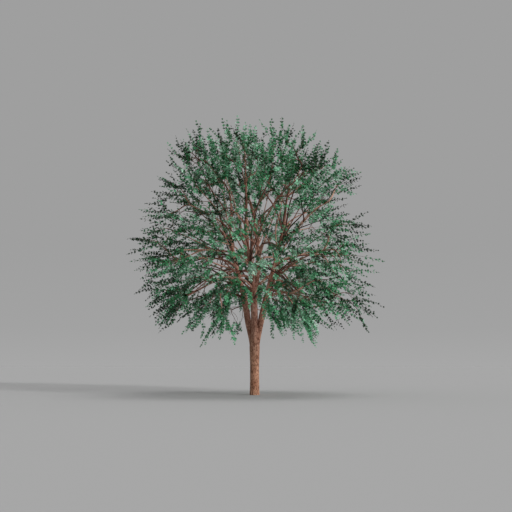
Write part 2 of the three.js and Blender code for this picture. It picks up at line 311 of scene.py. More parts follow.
def tubes(paths, radii, sides):
    """Round closed tubes along N paths of R points: vertices, quads, and each end's polygon."""
    paths, radii = np.asarray(paths, float), np.asarray(radii, float)
    count, rings = radii.shape
    along = unit(np.gradient(paths, axis=1))
    level = np.where(np.abs(along[:, :1, 2:]) > 0.9, [[[1.0, 0, 0]]], [[[0, 0, 1.0]]])[:, 0]
    side = np.cross(along[:, 0], level)
    turn = 2 * math.pi * np.arange(sides) / sides
    vertices = np.empty((count, rings, sides, 3))
    for r in range(rings):
        side = unit(side - along[:, r] * np.sum(side * along[:, r], axis=1, keepdims=True))
        up = np.cross(along[:, r], side)
        circle = side[:, None] * np.cos(turn)[:, None] + up[:, None] * np.sin(turn)[:, None]
        vertices[:, r] = paths[:, r, None] + radii[:, r, None, None] * circle
    corner = np.arange(count * rings * sides).reshape(count, rings, sides)
    turned = np.roll(corner, -1, axis=2)
    quads = np.stack([corner[:, :-1], turned[:, :-1], turned[:, 1:], corner[:, 1:]], axis=-1)
    ends = [*corner[:, 0, ::-1], *corner[:, -1]]
    return vertices.reshape(-1, 3), quads.reshape(-1, 4), np.array(ends)


class Shape:
    """Vertices and faces gathered for one piece, with a material number and marks on vertices."""

    def __init__(self):
        self.vertices, self.faces, self.materials, self.marks = [], [], [], []
        self.count = 0

    def add(self, vertices, *face_sets, material=0, marks=None):
        for faces in face_sets:
            self.faces.append(np.asarray(faces) + self.count)
            self.materials.append(np.broadcast_to(material, len(faces)))
        self.vertices.append(vertices)
        self.marks.append(np.zeros(len(vertices)) if marks is None else marks)
        self.count += len(vertices)

    def piece(self, name, materials, smooth=True):
        mesh = bpy.data.meshes.new(name)
        vertices = np.vstack(self.vertices)
        corners = np.concatenate([f.ravel() for f in self.faces])
        sizes = np.concatenate([np.full(len(f), f.shape[1]) for f in self.faces])
        mesh.vertices.add(len(vertices))
        mesh.vertices.foreach_set("co", vertices.astype(np.float32).ravel())
        mesh.loops.add(len(corners))
        mesh.loops.foreach_set("vertex_index", corners.astype(np.int32))
        mesh.polygons.add(len(sizes))
        starts = np.concatenate([[0], np.cumsum(sizes)[:-1]])
        mesh.polygons.foreach_set("loop_start", starts.astype(np.int32))
        numbers = np.concatenate(self.materials).astype(np.int32)
        mesh.polygons.foreach_set("material_index", numbers)
        mesh.polygons.foreach_set("use_smooth", np.full(len(sizes), smooth))
        relief = mesh.attributes.new("relief", "FLOAT", "POINT")
        relief.data.foreach_set("value", np.concatenate(self.marks).astype(np.float32))
        mesh.update(calc_edges=True)
        mesh.validate()
        for material in materials:
            mesh.materials.append(material)
        return linked(name, mesh)


# ------ materials


def linear(code):
    """A linear colour with alpha from an sRGB hex code."""
    channels = [int(code[i : i + 2], 16) / 255 for i in (1, 3, 5)]
    return (*[c / 12.92 if c <= 0.04045 else ((c + 0.055) / 1.055) ** 2.4 for c in channels], 1.0)


def node(tree, kind, settings=None, inputs=None, stops=()):
    """A node with its settings, its inputs set to a value or linked to a socket, and its places and
    colours where it is a ramp."""
    made = tree.nodes.new(kind)
    for key, value in (settings or {}).items():
        setattr(made, key, value)
    for key, value in (inputs or {}).items():
        if isinstance(value, bpy.types.NodeSocket):
            tree.links.new(value, made.inputs[key])
        else:
            made.inputs[key].default_value = value
    while stops and len(made.color_ramp.elements) < len(stops):
        made.color_ramp.elements.new(0.5)
    for i, (place, code) in enumerate(stops):
        element = made.color_ramp.elements[i]
        element.position = place
        element.color = linear(code)
    return made


def blank(name):
    material = bpy.data.materials.new(name)
    material.use_nodes = True
    tree = material.node_tree
    shader = tree.nodes["Principled BSDF"]
    return material, tree, shader


def bark(name, foot_stops, crown_stops, patches, roughness):
    """Living bark: paler on its ridges, where it wears, and darker in its furrows, partly in its own
    colour and partly as painted shade; tan at the tree's foot and redder up in the crown, with broad
    warm and cool patches and a fine grain; dry and matt."""
    material, tree, shader = blank(name)
    place = node(tree, "ShaderNodeTexCoord").outputs["Object"]
    relief = node(tree, "ShaderNodeAttribute", {"attribute_name": "relief"}).outputs["Fac"]
    inputs = {"Vector": place, "Scale": 1 / FLAKE_SIZE, "Detail": 5.0, "Roughness": 0.7}
    flakes = node(tree, "ShaderNodeTexNoise", inputs=inputs).outputs["Fac"]
    # The relief and the flakes set how pale the bark is: ridges wear pale, and furrows are dark, partly
    # in their own colour and partly as painted shade.
    inputs = {0: relief, 1: 0.62, 2: flakes}
    wear_and_furrow_shade = node(tree, "ShaderNodeMath", {"operation": "MULTIPLY_ADD"}, inputs).outputs[0]
    inputs = {"Value": wear_and_furrow_shade, "From Min": 0.35, "From Max": 1.15}
    pale = node(tree, "ShaderNodeMapRange", inputs=inputs).outputs["Result"]
    foot = node(tree, "ShaderNodeValToRGB", inputs={"Fac": pale}, stops=foot_stops)
    crown = node(tree, "ShaderNodeValToRGB", inputs={"Fac": pale}, stops=crown_stops)
    height = node(tree, "ShaderNodeSeparateXYZ", inputs={"Vector": place}).outputs["Z"]
    inputs = {"Value": height, "From Min": FOOT_TO_CROWN[0], "From Max": FOOT_TO_CROWN[1]}
    climb = node(tree, "ShaderNodeMapRange", inputs=inputs).outputs["Result"]
    # Sockets 6 and 7 of a Mix node that mixes colours are the two colours, and output 2 the mix.
    inputs = {"Factor": climb, 6: foot.outputs["Color"], 7: crown.outputs["Color"]}
    ridged = node(tree, "ShaderNodeMix", {"data_type": "RGBA"}, inputs).outputs[2]
    inputs = {"Vector": place, "Scale": 1 / PATCH_SIZE, "Detail": 3.0}
    broad = node(tree, "ShaderNodeTexNoise", inputs=inputs).outputs["Fac"]
    patchy = node(tree, "ShaderNodeValToRGB", inputs={"Fac": broad}, stops=patches)
    multiply = {"data_type": "RGBA", "blend_type": "MULTIPLY"}
    inputs = {"Factor": 1.0, 6: ridged, 7: patchy.outputs["Color"]}
    colour = node(tree, "ShaderNodeMix", multiply, inputs).outputs[2]
    tree.links.new(colour, shader.inputs["Base Color"])
    inputs = {"Value": flakes, "To Min": roughness, "To Max": 0.98}
    dull = node(tree, "ShaderNodeMapRange", inputs=inputs).outputs["Result"]
    tree.links.new(dull, shader.inputs["Roughness"])
    inputs = {"Vector": place, "Scale": 1 / GRIT_SIZE, "Detail": 3.0}
    grit = node(tree, "ShaderNodeTexNoise", inputs=inputs).outputs["Fac"]
    inputs = {"Height": grit, "Strength": 0.45, "Distance": 0.004}
    bump = node(tree, "ShaderNodeBump", inputs=inputs)
    tree.links.new(bump.outputs["Normal"], shader.inputs["Normal"])
    shader.inputs["Specular IOR Level"].default_value = 0.3
    return material


def plain(name, code, roughness, specular):
    """A finish of one even colour, as on leaves and twigs, which are too small to show a pattern."""
    material, _, shader = blank(name)
    shader.inputs["Base Color"].default_value = linear(code)
    shader.inputs["Roughness"].default_value = roughness
    shader.inputs["Specular IOR Level"].default_value = specular
    return material


FLAKE_SIZE = 1 / 20  # 50 mm: blotches as wide as the flakes between two furrows
PATCH_SIZE = 1 / 2.6  # 385 mm: broad patches where the bark is older or damper
GRIT_SIZE = 1 / 150  # 7 mm: the grain of the corky surface
FOOT_TO_CROWN = (1.3, 3.3)  # heights between which the bark turns from tan to red-brown
# Bark colours from furrow to ridge: the dark end is partly the furrows' own colour and partly painted
# shade in them.
FOOT_BARK = [(0.0, "#2a1810"), (0.5, "#865d47"), (1.0, "#d4a68a")]
CROWN_BARK = [(0.0, "#40261e"), (0.5, "#90604e"), (1.0, "#d4a896")]
BARK_PATCHES = [(0.3, "#d4c2b8"), (0.7, "#ffffff")]
# Furrowed corky bark of the old trunk: the ridges are worn pale, and the furrows are dark, partly in
# their own colour and partly as painted shade.
trunk_bark = bark("furrowed_trunk_bark", FOOT_BARK, CROWN_BARK, BARK_PATCHES, 0.86)
# Younger bark of the leaders and boughs: the same colours, but smoother, so a little less dull.
bough_bark = bark("red_brown_bough_bark", FOOT_BARK, CROWN_BARK, BARK_PATCHES, 0.78)
# Thin bark of the branches in three copies of one red-brown, the dark one painted shade and the
# pale one painted light; each branch has one of them, at random.
branch_barks = [
    plain("painted_shade_branch_bark", "#55382d", 0.8, 0.3),
    plain("red_brown_branch_bark", "#84594a", 0.75, 0.3),
    plain("painted_light_branch_bark", "#b68c7a", 0.75, 0.3),
]
BARK_SHARES = [0.3, 0.45, 0.25]  # of all branches
# Bark of last year's branchlets: thin and unbroken, a dull brown between branch and shoot.
young_bark = plain("young_branchlet_bark", "#6b5242", 0.7, 0.3)
# The year's shoots: a smooth red-brown skin, satin rather than matt, and dark among the leaves.
twig_bark = plain("red_brown_twig_bark", "#5c463a", 0.6, 0.3)

# Leaf blades: a waxy skin over blue-green tissue, which gives a soft sheen, in the greens that
# one tree shows, from dark old leaves to thin young ones, dealt to sprays partly as painted
# light and shade. Each spray has one of them.
LEAF_GREENS = ["#0f351d", "#2e7145", "#559d70", "#86c09d", "#a8d0b7"]
LEAF_SHARES = [0.24, 0.27, 0.24, 0.16, 0.09]  # of all sprays
leaf_skins = [plain(f"waxy_leaf_{i + 1}", code, 0.45, 0.25) for i, code in enumerate(LEAF_GREENS)]


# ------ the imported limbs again


def leader_radius(share):
    """Thick up to the first forks, and thinning fast beyond them."""
    share = np.asarray(share, float)
    low = lerp(LEADER["base"], LEADER["fork"], np.minimum(share / LEADER["fork_share"], 1))
    past = np.clip((share - LEADER["fork_share"]) / (1 - LEADER["fork_share"]), 0, 1)
    return low + (LEADER["tip"] - LEADER["fork"]) * past ** LEADER["power"]


def column_radius(z):
    climb = np.clip((z - TRUNK["waist_height"]) / (TRUNK["fork_height"] - TRUNK["waist_height"]), 0, 1)
    close = np.clip((z - TRUNK["fork_height"]) / (TRUNK["tip_height"] - TRUNK["fork_height"]), 0, 1)
    flare = TRUNK["flare"] * np.exp(-z / TRUNK["flare_height"])
    return (TRUNK["waist"] + flare + TRUNK["swell"] * climb) * (1 - TRUNK["closing"] * close)


def corners(name):
    """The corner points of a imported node."""
    return read_vectors(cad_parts[name].data, "co")


def turned(a, b):
    return abs(math.atan2(math.sin(a - b), math.cos(a - b)))


def plan_masses():
    """Each mass's ring, azimuth and middle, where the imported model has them."""
    planned = []
    for tier, (ring_name, ring) in enumerate(RINGS.items()):
        for k in range(ring["count"]):
            even = ring["first"] + k * 360 / ring["count"]
            azimuth = math.radians(even + STRAY["azimuth"] * chance(tier, k, 1))
            radius = ring["radius"] * (1 + STRAY["radius"] * chance(tier, k, 2))
            centre = around(azimuth) * radius
            centre[2] = ring["height"] + STRAY["height"] * chance(tier, k, 4)
            planned.append({
                "name": f"{ring_name}_mass_{k + 1}",
                "bough": f"{ring_name}_bough_{k + 1}",
                "ring_name": ring_name,
                "ring": ring,
                "azimuth": azimuth,
                "centre": centre,
            })
    return planned


def leader_of(mass):
    return min(LEADERS, key=lambda name: turned(mass["azimuth"], math.radians(LEADERS[name][0])))


def bough_route(mass, start):
    span = mass["centre"] - start
    flat = unit(span * [1, 1, 0])
    first = unit(flat + [0, 0, mass["ring"]["rise"]])
    last = unit(around(mass["azimuth"], mass["ring"]["drop"]))
    pull = BOUGH["pull"] * np.linalg.norm(span)
    return Route(bezier(start, start + first * pull, mass["centre"] - last * pull, mass["centre"], 300))


masses = plan_masses()
leader_routes = {}
for name, (_, line) in LEADERS.items():
    leader_routes[name] = Route(catmull_rom([(x, y, z) for (x, y), z in zip(line, LEADER_HEIGHTS)]))


def solid_of(mass):
    """A ray-casting tree of a mass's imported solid, and its volume."""
    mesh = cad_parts[mass["name"]].data
    mesh.calc_loop_triangles()
    triangles = np.array([t.vertices[:] for t in mesh.loop_triangles])
    points = corners(mass["name"])
    a, b, c = (points[triangles[:, i]] for i in range(3))
    volume = abs(np.sum(a * np.cross(b, c))) / 6
    return BVHTree.FromPolygons(points.tolist(), triangles.tolist()), volume


def reach(mass, direction):
    """How far a mass's solid reaches from its middle in a direction."""
    hit = mass["solid"].ray_cast(Vector(mass["centre"]), Vector(direction))
    return hit[3] if hit[0] is not None else 0.5


# ------ where the shoots go


def seen(points):
    """Where points appear, seen from the eye, on the plane through the trunk: across and height."""
    towards = np.asarray(points) - EYE
    met = EYE + towards * (-EYE[1] / towards[..., 1:2])
    return met[..., 0], met[..., 2]


def in_window(points):
    """Whether points stand in one of the windows of sky, whose edges are ragged and thin out."""
    x, z = seen(points)
    inside = np.zeros(x.shape, bool)
    for i, (across, height, half) in enumerate(WINDOWS):
        turn = np.arctan2(z - height, x - across)
        ragged = 1 + 0.25 * np.sin(2 * turn + i) + 0.2 * np.sin(5 * turn + 2 * i)
        out = np.hypot(x - across, z - height) / (half * ragged)
        inside |= rng.random(x.shape) < 0.93 - 0.8 * np.clip((out - 0.7) / 0.6, 0, 1.5)
    return inside


def within(place, across, height, wide, high):
    """Whether a place appears in an oval with that middle and that half width and height."""
    x, z = seen(place)
    return math.hypot((x - across) / wide, (z - height) / high) < 1


def kept_share(place):
    """The share of shoots that the partings leave at a place."""
    return math.prod(kept for *oval, kept in PARTINGS if within(place, *oval))


def screened(place):
    """Whether a place belongs to the foliage that hides the limbs behind it."""
    return any(within(place, *oval) for oval in SCREENS)


def swollen(tips):
    """Tips moved outwards or inwards where the outline swells or draws in."""
    x, z = seen(tips)
    for across, height, wide, push in SWELLS:
        near = np.exp(-((x - across) ** 2 + (z - height) ** 2) / wide**2)
        way = unit(np.array([across, 0.0, height]) - FOCUS)
        tips = tips + push * near[:, None] * way
    return tips


def cover(mass, place):
    """How deep a place lies under its mass's face, on the way that shoots point."""
    hit = mass["solid"].ray_cast(Vector(place), Vector(outward(place)))
    return hit[3] if hit[0] is not None else 0.0


def spread_sprays(tips, ways, lengths):
    """Each spray's leading shoot with its side shoots, which end behind its tip and stand a little
    away from it, so that the spray narrows to a point."""
    shoots = [(tips, ways, lengths)]
    for back, apart, share in SIDE_SHOOTS:
        # Steep sprays have side shoots more often than level ones.
        has = rng.random(len(tips)) < share * (0.12 + 0.9 * ways[:, 2] ** 2)
        across = unit(np.cross(ways[has], rng.normal(size=(has.sum(), 3))))
        gap = back * rng.uniform(0.7, 1.3, (has.sum(), 1))
        side = tips[has] - ways[has] * gap + across * apart
        lean = unit(ways[has] + 0.35 * across)
        shoots.append((side, lean, lengths[has] * rng.uniform(0.55, 0.8, has.sum())))
    return [np.concatenate(parts) for parts in zip(*shoots)]


def throw_shoots():
    """Tips and directions of shoots: near the crown's face, and no two too close together."""
    taken = {}
    for mass in masses:
        tries = int(mass["volume"] / TIP_SPACING[0] ** 3 * TRIES)
        ways = unit(rng.normal(size=(tries, 3)))
        places = []
        for way, depth, luck, stray in zip(ways, *rng.random((3, tries))):
            out = depth**FACE_POWER * reach(mass, way) + PROUD + STRAY_REACH * stray**5
            place = mass["centre"] + way * out
            deep = (cover(mass, place) - LEAFY_DEPTH[0]) / (LEAFY_DEPTH[1] - LEAFY_DEPTH[0])
            if luck > 1 - deep and not screened(place):
                continue
            spacing = lerp(*TIP_SPACING, abs(outward(place)[2]))
            key = tuple(np.floor(place / TIP_SPACING[1]).astype(int))
            cells = itertools.product(*[(k - 1, k, k + 1) for k in key])
            near = [other for cell in cells for other in taken.get(cell, ())]
            if all(math.dist(place, other) > spacing for other in near):
                taken.setdefault(key, []).append(place)
                places.append(place)
        tips = swollen(np.array(places))
        ways = unit(outward(tips) + WAY_SPREAD * rng.normal(size=tips.shape))
        lengths = rng.uniform(*SHOOT_LENGTH, len(tips))
        if mass["ring_name"] == "skirt":
            hangs = ways[:, 2] < -HANGING["steepness"]
            hangs &= rng.random(len(tips)) < HANGING["share"]
            hangs &= np.abs(tips[:, 0]) < HANGING["reach"]
            drop = HANGING["drop"] * rng.uniform(0.3, 1.4, hangs.sum())
            tips[hangs] += (0.9 * ways[hangs] + [0, 0, -0.5]) * drop[:, None]
            lengths[hangs] += drop
        tips, ways, lengths = spread_sprays(tips, ways, lengths)
        backs = tips - ways * lengths[:, None] * BACK_SHARE
        clear = ~(in_window(tips) | in_window(backs))
        clear &= rng.random(len(tips)) < [kept_share(back) for back in backs]
        mass["tips"], mass["ways"], mass["lengths"] = tips[clear], ways[clear], lengths[clear]


def share_out(points, shares):
    """Numbers of the points in each of that many neighbourhoods, by Lloyd's rule."""
    shares = max(1, min(shares, len(points)))
    middles = points[rng.choice(len(points), shares, replace=False)]
    for _ in range(8):
        owner = np.linalg.norm(points[:, None] - middles[None], axis=2).argmin(axis=1)
        middles = np.array([
            points[owner == i].mean(axis=0) if np.any(owner == i) else middles[i]
            for i in range(shares)
        ])
    return [np.flatnonzero(owner == i) for i in range(shares) if np.any(owner == i)]


# ------ branching

# How a limb runs on through its mass: how far before its packed end it starts to turn, as a share
# of its length, how gently it turns, and how far past the mass's middle it goes, as a share of the
# mass's reach, in the dome and below it.
TURN_AHEAD, TURN_PULL, RUN_UP, RUN_OUT = 0.07, 0.42, 0.3, 0.62
ACUTE = 0.78  # cosine of the angle at which a limb likes to leave its parent
ANGLE_COST = 6.0  # how much dearer a place is where it would leave at another angle
WHIM = 0.08  # how unevenly the places along a parent are rated
SWAY = 0.022  # how far a limb wavers, as a share of its reach
SAG = 0.04  # how far the tip of a level shoot sags, as a share of its reach


def leave_point(parent, low, target):
    """The share of the parent at which a limb for that target leaves: near it, behind it, and at
    an acute angle."""
    shares = np.linspace(low, 0.985, 40)
    towards = target - parent.at(shares)
    far = np.linalg.norm(towards, axis=1)
    cosine = np.sum(unit(towards) * parent.along(shares), axis=1)
    cost = far * (1 + ANGLE_COST * (cosine - ACUTE) ** 2) * (1 + WHIM * rng.random(40))
    return shares[cost.argmin()]


def grow(parent, share, target, count):
    """A limb from the parent to the target that ends pointing the way shoots do there."""
    start = parent.at(share)
    towards = target - start
    far = np.linalg.norm(towards)
    first = unit(0.55 * parent.along(share) + 0.85 * unit(towards))
    last = unit(outward(target) + 0.6 * unit(towards))
    curve = bezier(start, start + first * 0.36 * far, target - last * 0.34 * far, target, count)
    sway = rng.normal(size=3) * SWAY * far
    bend = np.sin(np.linspace(0, 2 * math.pi, count) + rng.random() * 3)[:, None]
    fade = np.sin(np.linspace(0, math.pi, count))[:, None]
    return Route(curve + sway * bend * fade)


def pipe(shoots):
    return PIPE_RADIUS * shoots**PIPE_POWER


def far_side(points, push):
    """The middle of a neighbourhood, moved outwards by a share of how far it reaches that way."""
    middle = points.mean(axis=0)
    way = outward(middle)
    return middle + way * push * np.max((points - middle) @ way)


BRANCH_RINGS, BRANCHLET_RINGS, SHOOT_RINGS = 12, 7, 7
branch_paths, branch_radii = [], []
branchlet_paths, branchlet_radii = [], []
shoot_paths, shoot_lengths, shoot_mass = [], [], []


def grow_mass(index, mass, bough, low, leader, leader_shares):
    """Branches from the mass's bough, and some from the leader, branchlets from those, and from
    the branchlets the shoots."""
    roots = mass["tips"] - mass["ways"] * (ROOT_SHARE * mass["lengths"][:, None])
    last_of_bough = low
    for number, share_of_branch in enumerate(share_out(roots, BRANCHES_PER_MASS)):
        points = roots[share_of_branch]
        target = far_side(points, 0.3)
        if number % 2 == 1:
            branch = grow(leader, rng.uniform(*leader_shares), target, 40)
        else:
            share = leave_point(bough, low, target)
            branch = grow(bough, share, target, 40)
            last_of_bough = max(last_of_bough, share)
        last = 0.3
        lets = max(1, round(len(points) / SHOOTS_PER_BRANCHLET))
        for share_of_let in share_out(points, lets):
            chosen = share_of_branch[share_of_let]
            target = far_side(roots[chosen], 0.5)
            share = leave_point(branch, 0.3, target)
            branchlet = grow(branch, share, target, 24)
            last = max(last, share)
            last_of_let = 0.2
            for i in chosen:
                share = grow_shoot(branchlet, mass["tips"][i], mass["ways"][i], roots[i])
                last_of_let = max(last_of_let, share)
                shoot_lengths.append(mass["lengths"][i])
                shoot_mass.append(index)
            branchlet_paths.append(branchlet.at(np.linspace(0, last_of_let, BRANCHLET_RINGS)))
            taper = np.linspace(0, 1, BRANCHLET_RINGS) ** 0.9
            branchlet_radii.append(lerp(pipe(len(chosen)), SHOOT_RADIUS[0], taper))
        branch_paths.append(branch.at(np.linspace(0, last, BRANCH_RINGS)))
        taper = np.linspace(0, 1, BRANCH_RINGS) ** 1.2
        branch_radii.append(lerp(pipe(len(points)), pipe(2), taper))
    return last_of_bough


def grow_shoot(branchlet, tip, way, root):
    """A shoot's line: off the branchlet at an acute angle, then straight the way it points. Returns
    the share of the branchlet at which it leaves."""
    share = leave_point(branchlet, 0.15, root)
    start = branchlet.at(share)
    far = np.linalg.norm(tip - start)
    first = unit(branchlet.along(share) + unit(root - start) + way)
    path = bezier(start, start + first * 0.25 * far, tip - way * 0.45 * far, tip, SHOOT_RINGS)
    sag = np.linalg.norm(way[:2]) * SAG * far
    path[:, 2] -= sag * np.linspace(0, 1, SHOOT_RINGS) ** 2
    shoot_paths.append(path)
    return share


# ------ the limbs' bark


def furrows(point):
    """Bark's relief at a point: near 1 on a ridge and 0 in the furrow between two."""
    broken = noise.noise(point * 0.7) * 0.5
    ridge = min(1.0, abs(noise.noise(point + Vector((broken, broken, 3.0)))) / 0.30)
    fine = noise.noise(point * 3.1) * 0.5 + 0.5
    return 0.75 * ridge * (2 - ridge) + 0.25 * fine


def bark_limb(shape, route, low, high, radius_at, sides, step):
    """A limb's tube between two shares, with furrows that run along it."""
    rings = max(6, int((high - low) * route.length / step))
    shares = np.linspace(low, high, rings)
    radii = radius_at(shares)
    path = route.at(shares)
    vertices, quads, ends = tubes([path], [radii], sides)
    ring = vertices.reshape(rings, sides, 3)
    away = unit(ring - path[:, None])
    seed = rng.uniform(0, 40)
    marks = np.empty((rings, sides))
    for r in range(rings):
        run = shares[r] * route.length * BARK_GRAIN * BARK_STRETCH
        for s in range(sides):
            turn = 2 * math.pi * s / sides
            across = radii[r] * BARK_GRAIN
            spot = Vector((math.cos(turn) * across, math.sin(turn) * across, run + seed))
            marks[r, s] = furrows(spot)
    swell = (marks - BARK_LEVEL) * radii[:, None] * BARK_DEPTH
    ring += away * swell[:, :, None]
    shape.add(ring.reshape(-1, 3), quads, ends, marks=marks.ravel())


def trunk_piece():
    """The trunk: its column and the leaders' feet, grown together, with furrowed bark."""
    body = Shape()
    z = np.linspace(0, TRUNK["tip_height"], 80)
    column = np.stack([0 * z, 0 * z, z], axis=1)
    vertices, quads, ends = tubes([column], [column_radius(z)], 40)
    body.add(vertices, quads, ends)
    for route in leader_routes.values():
        shares = np.linspace(0, route.share_at_height(TRUNK_SKIN_TOP), 60)
        late = np.clip(1 - (TRUNK_SKIN_TOP - route.at(shares)[:, 2]) / TUCK_RUN, 0, 1)
        radii = leader_radius(shares) - SKIN_TUCK * late
        vertices, quads, ends = tubes([route.at(shares)], [radii], 28)
        body.add(vertices, quads, ends)
    rough = body.piece("trunk_rough", [])
    remesh = rough.modifiers.new("remesh", "REMESH")
    remesh.mode = "VOXEL"
    remesh.voxel_size = SKIN_GRID
    smooth = rough.modifiers.new("smooth", "SMOOTH")
    smooth.factor = 0.5
    smooth.iterations = 8
    evaluated = rough.evaluated_get(bpy.context.evaluated_depsgraph_get())
    made = bpy.data.meshes.new_from_object(evaluated)
    bpy.data.objects.remove(rough)
    points, ways = read_vectors(made, "co"), read_vectors(made, "normal")
    marks = np.array([
        furrows(Vector((x * BARK_GRAIN, y * BARK_GRAIN, z * BARK_GRAIN * BARK_STRETCH)))
        for x, y, z in points
    ])
    points += ways * ((marks - BARK_LEVEL) * TRUNK["waist"] * BARK_DEPTH)[:, None]
    points[:, 2] = np.maximum(points[:, 2], 0)
    low = points[:, 2] < 0.012
    points[low, 2] = 0
    made.vertices.foreach_set("co", points.ravel())
    relief = made.attributes.get("relief") or made.attributes.new("relief", "FLOAT", "POINT")
    relief.data.foreach_set("value", marks.astype(np.float32))
    made.polygons.foreach_set("use_smooth", np.ones(len(made.polygons), bool))
    made.materials.clear()
    made.materials.append(trunk_bark)
    made.update()
    return linked("trunk_with_bark", made)


# ------ leaves

# Half a maple leaf, [across, along] in leaf lengths from the foot of the blade to its tip: a
# small lobe at the foot, a notch, the long side lobe, a notch, and the middle lobe's tip.
HALF_LEAF = [(0.015, 0.0), (0.36, 0.06), (0.23, 0.30), (0.56, 0.58), (0.19, 0.60), (0.0, 1.0)]
FOLD = 0.26  # how far the sides stand up from the midrib, as a share of their distance
CURL = 0.16  # how far the tip bends down


def leaf_pattern():
    """One leaf's corners, [across, along, up], and its triangles, with the petiole's end first."""
    right = [(x, y, FOLD * x - CURL * y * y) for x, y in HALF_LEAF]
    left = [(-x, y, z) for x, y, z in right[:-1]]
    points = [(0.0, -PETIOLE / LEAF_LENGTH, 0.0), *right, *left]
    right_side = [1, 2, 3, 4, 5, 6]
    left_side = [7, 8, 9, 10, 11, 6]
    faces = [(0, right_side[0], left_side[0]), (right_side[0], 6, left_side[0])]
    for a, b, c in [(0, 1, 2), (0, 2, 4), (2, 3, 4), (0, 4, 5)]:
        faces.append((right_side[a], right_side[b], right_side[c]))
        faces.append((left_side[a], left_side[c], left_side[b]))
    return np.array(points), np.array(faces)


def at_lengths(paths, back):
    """Places that far back from the tips along N paths, and the paths' directions there."""
    steps = np.linalg.norm(np.diff(paths, axis=1), axis=2)
    run = np.concatenate([np.zeros((len(paths), 1)), np.cumsum(steps, axis=1)], axis=1)
    want = np.maximum(run[:, -1:] - back, 0)
    ring = (run[:, None] <= want[:, :, None]).sum(axis=2) - 1
    ring = np.clip(ring, 0, paths.shape[1] - 2)
    rows = np.arange(len(paths))[:, None]
    part = (want - run[rows, ring]) / np.maximum(steps[rows, ring], 1e-6)
    before, after = paths[rows, ring], paths[rows, ring + 1]
    return before + (after - before) * part[..., None], unit(after - before)


def place_leaves(paths, lengths):
    """Leaves in pairs along N shoots, each pair turned across the last, and one at the tip:
    where the petiole starts, the blade's axis and normal, its size, and whether it is there."""
    count = len(paths)
    back = 0.05 + PAIR_SPACING * (np.arange(MOST_PAIRS) + 0.6 * rng.random((count, 1)))
    back = back + rng.uniform(-0.015, 0.015, back.shape)
    feet, along = at_lengths(paths, back)
    there = back < lengths[:, None]
    level = unit(np.cross(along, [0.0, 0.0, 1.0]) + 1e-6)
    above = np.cross(level, along)
    turn = rng.uniform(-0.45, 0.45, back.shape) + np.where(np.arange(MOST_PAIRS) % 2, 1.1, 0.0)
    side = level * np.cos(turn)[..., None] + above * np.sin(turn)[..., None]
    opened = np.radians(rng.uniform(*OPENING, (2, *back.shape)))[..., None]
    axes = [along * np.cos(opened[0]) - side * np.sin(opened[0])]
    axes.append(along * np.cos(opened[1]) + side * np.sin(opened[1]))
    tip, tip_along = paths[:, -1:], unit(paths[:, -1:] - paths[:, -2:-1])
    places = np.concatenate([feet, feet, tip], axis=1)
    axis = np.concatenate([*axes, tip_along], axis=1)
    twig = np.concatenate([along, along, tip_along], axis=1)
    there = np.concatenate([there, there, np.ones((count, 1), bool)], axis=1)
    axis = unit(axis + [0, 0, -LEAF_DROOP] + 0.10 * rng.normal(size=axis.shape))
    flat = unit([0, 0, 1.0] - 0.85 * twig * twig[..., 2:])
    facing = flat + 0.25 * twig + LEAF_TUMBLE * rng.normal(size=axis.shape)
    normal = unit(facing - axis * np.sum(facing * axis, axis=-1, keepdims=True))
    age = np.concatenate([back, back, np.zeros((count, 1))], axis=1) / lengths[:, None]
    grown = 0.72 + 0.38 * np.clip(age * 3, 0, 1)
    size = LEAF_LENGTH * grown * rng.uniform(0.85, 1.1, there.shape)
    there &= rng.random(there.shape) > MISSING_LEAVES
    there &= ~in_window(places)
    return places, axis, normal, size, there


# How light a spray's green is: patches of like green to a metre, how much its patch and chance
# count, how much lighter it gets with each metre to the right and down, which is painted light,
# and how much darker with each metre beyond the flanks' radius, which is painted shade.
GREEN = {
    "patches": 0.55, "patch": 0.6, "chance": 0.35,
    "right": 0.03, "down": 0.03, "beyond": 0.36, "flank": 3.2,
}


def deal_greens(places):
    """A green for each shoot: light and dark ones gather in patches, with some strays, and the
    crown's left and its flanks run darker than its lower middle, as painted shade and painted light."""
    patches = np.array([noise.noise(Vector(place) * GREEN["patches"]) for place in places])
    score = GREEN["patch"] * patches + rng.normal(size=len(places)) * GREEN["chance"]
    # Painted light: greens lighter to the right, the lamps' side, and lower down.
    score += GREEN["right"] * places[:, 0] - GREEN["down"] * places[:, 2]
    # Painted shade: greens darker beyond the flanks' radius.
    radius = np.hypot(places[:, 0], places[:, 1])
    score -= GREEN["beyond"] * np.maximum(radius - GREEN["flank"], 0)
    order = np.argsort(np.argsort(score)) / len(score)
    return np.searchsorted(np.cumsum(LEAF_SHARES)[:-1], order)


def leaves(paths, lengths):
    """The leaves of N shoots as one shape; each shoot's spray has one green."""
    pattern, faces = leaf_pattern()
    places, axis, normal, size, there = place_leaves(paths, lengths)
    tint = deal_greens(paths[:, -1])
    tints = np.repeat(tint[:, None], size.shape[1], axis=1)[there]
    places, axis, normal, size = places[there], axis[there], normal[there], size[there]
    across = np.cross(axis, normal)
    foot = places + axis * (PETIOLE / LEAF_LENGTH * size)[:, None]
    points = (
        foot[:, None]
        + across[:, None] * (pattern[:, 0] * size[:, None])[..., None]
        + axis[:, None] * (pattern[:, 1] * size[:, None])[..., None]
        + normal[:, None] * (pattern[:, 2] * size[:, None])[..., None]
    )
    numbers = (np.arange(len(places)) * len(pattern))[:, None, None] + faces
    shape = Shape()
    shape.add(points.reshape(-1, 3), numbers.reshape(-1, 3), material=np.repeat(tints, len(faces)))
    return shape


# ------ growing the tree

for mass in masses:
    mass["solid"], mass["volume"] = solid_of(mass)
throw_shoots()

tips = {name: route.points[-1] for name, route in leader_routes.items()}
tops = [mass for mass in masses if mass["ring_name"] == "top"]
carried = {}
for name, tip in tips.items():
    nearest = min(tops, key=lambda mass: np.linalg.norm(mass["centre"] - tip))
    nearest["carried"] = name
    carried[name] = nearest

leader_shape, bough_shape = Shape(), Shape()


